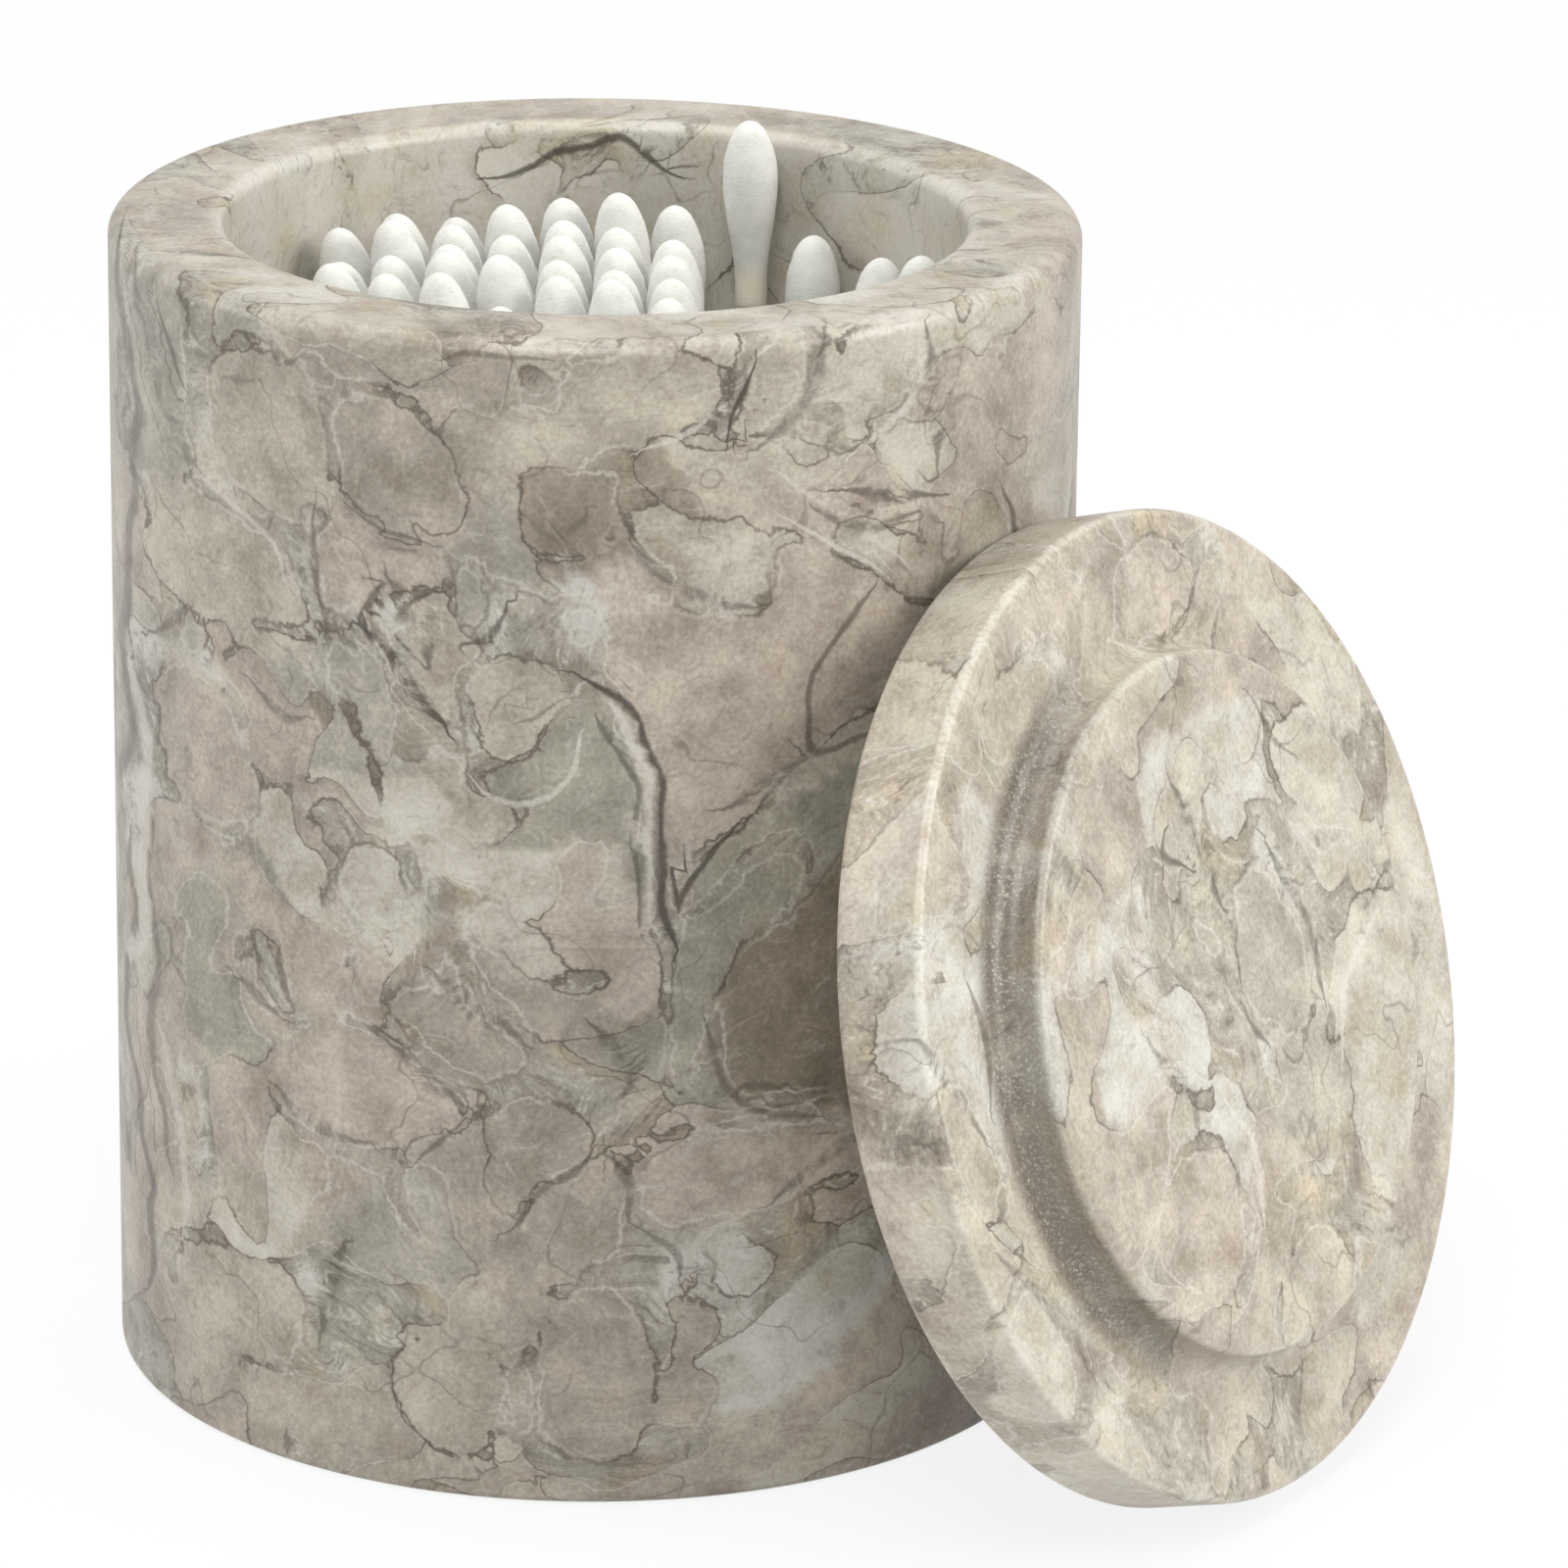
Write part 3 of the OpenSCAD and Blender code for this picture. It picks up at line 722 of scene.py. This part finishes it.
def stick_ends(node):
    """The two ends of each stick in a CAD node, the lower one first."""
    bpy.ops.object.select_all(action="DESELECT")
    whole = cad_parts[node].copy()
    whole.data = whole.data.copy()
    whole.parent = None
    bpy.context.scene.collection.objects.link(whole)
    edit(whole)
    bpy.ops.mesh.select_all(action="SELECT")
    bpy.ops.mesh.remove_doubles(threshold=0.001 * MM)
    bpy.ops.mesh.separate(type="LOOSE")
    bpy.ops.object.mode_set(mode="OBJECT")
    ends = []
    for stick in list(bpy.context.selected_objects):
        up = sorted((v.co.copy() for v in stick.data.vertices), key=lambda place: place.z)
        half = len(up) // 2
        ends.append((sum(up[:half], Vector()) / half, sum(up[half:], Vector()) / (len(up) - half)))
        bpy.data.objects.remove(stick)
    return sorted(ends, key=lambda pair: pair[0].to_tuple(4))


def along(low, high, turn=0.0):
    """The place that stands a model's own axis on low and points it at high."""
    tilt = (high - low).to_track_quat("Z", "Y").to_matrix().to_4x4()
    return Matrix.Translation(low) @ tilt @ Matrix.Rotation(turn, 4, "Z")


stick_nodes = sorted(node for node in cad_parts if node.endswith(("_stick", "_sticks")))
swab_ends = {node: stick_ends(node) for node in stick_nodes}
first_low, first_high = swab_ends[stick_nodes[0]][0]
stick_len = (first_high - first_low).length

bpy.ops.mesh.primitive_cylinder_add(vertices=STICK_SIDES, radius=STICK_R, depth=stick_len,
                                    location=(0, 0, stick_len / 2), end_fill_type="NGON")
stick_model = bpy.context.object
bpy.ops.object.transform_apply(location=True)
edit(stick_model)
bevel_ring(stick_model, STICK_R, 0, STICK_ROUND, 2)
bevel_ring(stick_model, STICK_R, stick_len, STICK_ROUND, 2)
cut_edges(stick_model, down_wall(STICK_R, 30 * MM), (9,))
done()
keep_rest_places(stick_model)


def rolled_paper():
    """Ivory paper with fibres along the stick and the strip's edge winding round it."""
    s = Shades("rolled_paper")
    rest = s.attribute("rest", "Vector")
    x, y, z = s.add("ShaderNodeSeparateXYZ", {0: rest}).node.outputs
    turn = s.math("DIVIDE", s.math("ARCTAN2", y, x), math.tau)
    wound = s.math("FRACT", s.math("ADD", turn, s.math("DIVIDE", z, SEAM_TURN / MM)))
    seam = s.band(s.math("ABSOLUTE", s.math("SUBTRACT", wound, 0.5)), 0.035, 0.0)
    fibres = s.noise(s.vector("MULTIPLY", rest, (1, 1, 0.12)), 0.35, 4, 0.6)
    tone = s.ramp(fibres, [(0.25, (208, 197, 172)), (0.5, PAPER), (0.75, (236, 229, 211))])
    tone = s.stain(tone, GLUE, seam, 0.35)
    relief = s.math("SUBTRACT", s.math("MULTIPLY", fibres, 0.3), seam)
    return s.finish(tone, relief, 0.5, 0.06 * MM, {"Roughness": 0.42})


stick_model.data.materials.append(rolled_paper())

TURN_SEED = 7
chance = random.Random(TURN_SEED)
for node in stick_nodes:
    rolled = copy_of(stick_model, node + "_rolled", [along(low, high, chance.uniform(0, math.tau))
                                                     for low, high in swab_ends[node]])
    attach(rolled, "root")
    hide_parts(node)
bpy.data.objects.remove(stick_model)

# The buds. Cotton fibre is wound on either end of the stick while it spins, and pressed in a mould:
# an egg-shaped crown, fullest near the end, that runs out in a long taper on the paper.
BUD_R = 2.3 * MM
BUD_LEN = 15 * MM
BUD_CROWN = 4.8 * MM
CROWN_LOW = BUD_LEN - BUD_CROWN
BUD_HEM = 0.06 * MM
BUD_SKIN = 1.6 * MM
BUD_SIDES = 40
TAPER_STEPS = 16
CROWN_STEPS = 10
# How deep the lumps go, how large they are, and how thick the cotton is where they are at their deepest
LUMP = 0.07 * MM
LUMP_SIZE = 1.1 * MM
SMALL_LUMP_SIZE = 0.5 * MM
LUMPY_COTTON = 0.5 * MM


def bud_radius(height):
    """The radius of a bud at a height from its hem, over a skin of cotton that thins out on the paper."""
    if height > CROWN_LOW:
        return BUD_R * math.sqrt(max(0.0, 1 - ((height - CROWN_LOW) / BUD_CROWN) ** 2))
    share = (1 - math.cos(math.pi * max(0.0, height - BUD_SKIN) / (CROWN_LOW - BUD_SKIN))) / 2
    return STICK_R + BUD_HEM + (BUD_R - STICK_R - BUD_HEM) * share


heights = [CROWN_LOW * k / TAPER_STEPS for k in range(1, TAPER_STEPS + 1)]
heights += [CROWN_LOW + BUD_CROWN * math.sin(math.pi / 2 * k / CROWN_STEPS) for k in range(1, CROWN_STEPS)]
bpy.ops.mesh.primitive_circle_add(vertices=BUD_SIDES, radius=bud_radius(0), fill_type="NGON")
bud_model = bpy.context.object
edit(bud_model)
bpy.ops.mesh.select_all(action="SELECT")
below = 0.0
for height in heights:
    bpy.ops.mesh.extrude_region_move(TRANSFORM_OT_translate={"value": (0, 0, height - below)})
    grow = bud_radius(height) / bud_radius(below)
    bpy.ops.transform.resize(value=(grow, grow, 1), center_override=(0, 0, height))
    below = height
bpy.ops.mesh.extrude_region_move(TRANSFORM_OT_translate={"value": (0, 0, BUD_LEN - below)})
bpy.ops.mesh.merge(type="CENTER")
bpy.ops.mesh.select_all(action="SELECT")
bpy.ops.mesh.normals_make_consistent(inside=False)
done(80)
for vertex in bud_model.data.vertices:
    out = Vector((vertex.co.x, vertex.co.y, 0))
    swell = noise.noise(vertex.co / LUMP_SIZE) + 0.6 * noise.noise(vertex.co / SMALL_LUMP_SIZE)
    cotton = min(1, max(0, (out.length - STICK_R) / LUMPY_COTTON))
    vertex.co -= out.normalized() * LUMP * (1 + swell) * cotton
keep_rest_places(bud_model)


def wound_cotton():
    """Soft white fibres wound round the stick, with the paper showing through the thin hem."""
    s = Shades("wound_cotton")
    rest = s.attribute("rest", "Vector")
    fibres = s.noise(s.vector("MULTIPLY", rest, (1, 1, 4)), 0.5, 5, 0.65)
    tufts = s.noise(rest, 1.6, 3)
    tone = s.ramp(s.math("MULTIPLY_ADD", fibres, 0.6, s.math("MULTIPLY", tufts, 0.4)),
                  [(0.3, (193, 193, 186)), (0.5, (209, 209, 203)), (0.7, (217, 217, 212))])
    height = s.add("ShaderNodeSeparateXYZ", {0: rest}, 2)
    thin = s.band(s.math("MULTIPLY_ADD", tufts, 1.5, height), 4.6, 2.2)
    tone = s.stain(tone, PAPER, thin, 0.8)
    return s.finish(tone, fibres, 0.6, 0.15 * MM, {
        "Roughness": 0.95, "Specular IOR Level": 0.15, "Subsurface Weight": 0.7,
        "Subsurface Radius": (1, 1, 1), "Subsurface Scale": 2 * MM,
        "Sheen Weight": 0.1, "Sheen Roughness": 0.5})


bud_model.data.materials.append(wound_cotton())

for node in stick_nodes:
    buds = []
    for low, high in swab_ends[node]:
        axis = (high - low).normalized()
        for end, way in ((low, -axis), (high, axis)):
            tip = end + way * BUD_PAD
            buds.append(along(tip - way * BUD_LEN, tip, chance.uniform(0, math.tau)))
    bud_node = node.replace("_sticks", "_buds").replace("_stick", "_buds")
    wound = copy_of(bud_model, bud_node + "_cotton", buds)
    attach(wound, "root")
    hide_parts(bud_node)
bpy.data.objects.remove(bud_model)

# The studio. A white table under soft lamps, seen from a little above with a long lens.
FLOOR_SIZE = 4.0
FLOOR_DROP = 0.1 * MM
FLOOR_GLOW = 0.85
FLOOR_TONE = (0.78, 0.78, 0.78, 1)
AIR_LIGHT = 0.5
CAMERA_PLACE = Vector((0.015245, -0.6462, 0.26286))
CAMERA_PITCH = 18.54
CAMERA_ROLL = 0.72
CAMERA_LENS = 196.2
CAMERA_SENSOR = 36


def white_table():
    """A matt white table, which to the camera also glows, so that it runs out into the white air."""
    s = Shades("white_table")
    s.feed(s.surface.inputs["Base Color"], FLOOR_TONE)
    s.feed(s.surface.inputs["Roughness"], 0.9)
    s.feed(s.surface.inputs["Specular IOR Level"], 0.1)
    rays = s.add("ShaderNodeLightPath", {}).node.outputs
    seen = s.math("MAXIMUM", rays["Is Camera Ray"], rays["Is Glossy Ray"])
    seen = s.math("MAXIMUM", seen, rays["Is Transmission Ray"])
    glow = s.add("ShaderNodeEmission", {"Color": (1, 1, 1, 1), "Strength": 1.0})
    mixed = s.add("ShaderNodeMixShader", {0: s.product(seen, FLOOR_GLOW), 1: s.surface.outputs[0], 2: glow})
    s.feed(s.tree.nodes["Material Output"].inputs["Surface"], mixed)
    return s.material


bpy.ops.mesh.primitive_plane_add(size=FLOOR_SIZE, location=(0, 0, -FLOOR_DROP))
floor = bpy.context.object
floor.name = "studio_floor"
floor.data.materials.append(white_table())

world = bpy.data.worlds.new("studio_air")
bpy.context.scene.world = world
world.use_nodes = True
air = world.node_tree
light_path = air.nodes.new("ShaderNodeLightPath")
strength = air.nodes.new("ShaderNodeMapRange")
strength.inputs["To Min"].default_value = AIR_LIGHT
strength.inputs["To Max"].default_value = 1.0
air.links.new(light_path.outputs["Is Camera Ray"], strength.inputs["Value"])
air.nodes["Background"].inputs["Color"].default_value = (1, 1, 1, 1)
air.links.new(strength.outputs[0], air.nodes["Background"].inputs["Strength"])


def softbox(name, place, aim, size, power, colour=(1, 1, 1)):
    """A square soft lamp at a place, turned to what it lights."""
    bpy.ops.object.light_add(type="AREA", location=place)
    lamp = bpy.context.object
    lamp.name = name
    lamp.data.size = size
    lamp.data.energy = power
    lamp.data.color = colour
    lamp.rotation_euler = (Vector(aim) - Vector(place)).to_track_quat("-Z", "Y").to_euler()


softbox("top_lamp", (-0.1, 0.1, 1.1), (0, 0, 0.05), 0.8, 4.5)
softbox("front_lamp", (-0.1, -0.8, 1.1), (0, 0, 0.06), 0.5, 8)
softbox("right_lamp", (1.0, -0.35, 0.6), (0.03, 0, 0.04), 0.6, 8.5, (1, 0.985, 0.96))
softbox("left_lamp", (-1.0, 0.0, 0.5), (0, 0, 0.05), 0.6, 3)

pitch = math.radians(CAMERA_PITCH)
roll = math.radians(CAMERA_ROLL)
camera_data = bpy.data.cameras.new("studio_camera")
camera_data.lens = CAMERA_LENS
camera_data.sensor_width = CAMERA_SENSOR
camera = bpy.data.objects.new("studio_camera", camera_data)
bpy.context.scene.collection.objects.link(camera)
flat_right = Vector((1, 0, 0))
flat_up = Vector((0, math.sin(pitch), math.cos(pitch)))
right = math.cos(roll) * flat_right + math.sin(roll) * flat_up
up = math.cos(roll) * flat_up - math.sin(roll) * flat_right
facing = Matrix((right, up, right.cross(up))).transposed().to_4x4()
camera.matrix_world = Matrix.Translation(CAMERA_PLACE) @ facing
bpy.context.scene.camera = camera
bpy.context.scene.view_settings.view_transform = "Standard"
